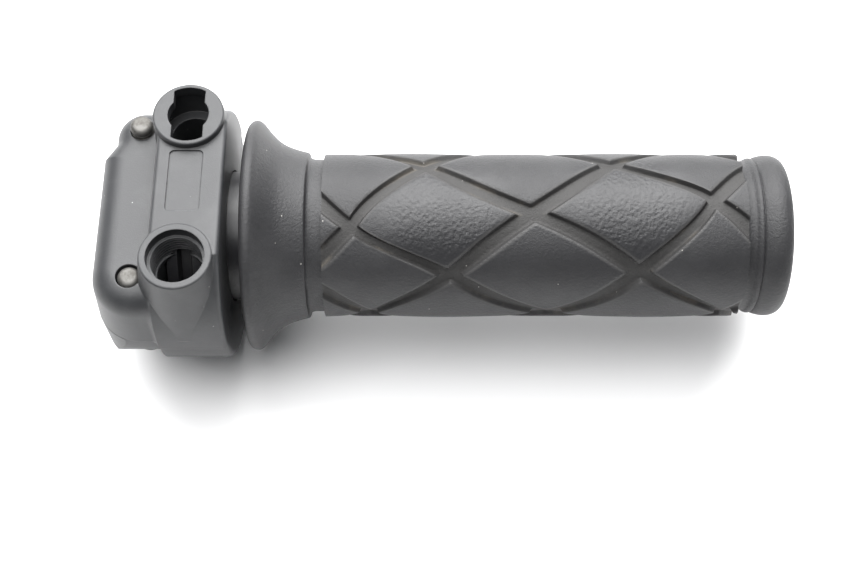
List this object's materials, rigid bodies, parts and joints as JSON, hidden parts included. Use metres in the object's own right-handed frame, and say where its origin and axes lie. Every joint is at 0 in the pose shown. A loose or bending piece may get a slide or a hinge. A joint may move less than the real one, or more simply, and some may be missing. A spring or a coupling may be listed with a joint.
{
  "type": "motorcycle twist throttle grip",
  "caption": "Twist throttle with a clamped two-piece housing, cable ports, a cable drum tube and a flanged, diamond-patterned rubber grip.",
  "frame": {"origin": "centre of the handlebar clamp bore, on the plane where the housing halves meet", "axes": "+X along the handlebar towards the grip's outer end, +Y towards the return-cable port, +Z out of the cable ports"},
  "size_m": [0.152, 0.0562, 0.0532],
  "materials": {
    "housing_plastic": "fine matt moulded black plastic",
    "tube_nylon": "smooth black nylon",
    "grip_rubber": "worn matt black rubber",
    "screw_steel": "dull zinc-plated steel",
    "insert_brass": "turned brass"
  },
  "bodies": {
    "housing": {"front_housing": "housing_plastic", "rear_housing": "housing_plastic", "upper_clamp_screw": "screw_steel", "lower_clamp_screw": "screw_steel", "upper_lock_washer": "screw_steel", "lower_lock_washer": "screw_steel", "upper_thread_insert": "insert_brass", "lower_thread_insert": "insert_brass"},
    "twist_grip": {"throttle_tube": "tube_nylon", "rubber_grip": "grip_rubber"}
  },
  "joints": [
    {"name": "throttle_twist", "type": "hinge", "parent": "housing", "child": "twist_grip", "pos_m": [0, 0, 0], "axis": [1, 0, 0], "range_deg": [0, 78]}
  ]
}
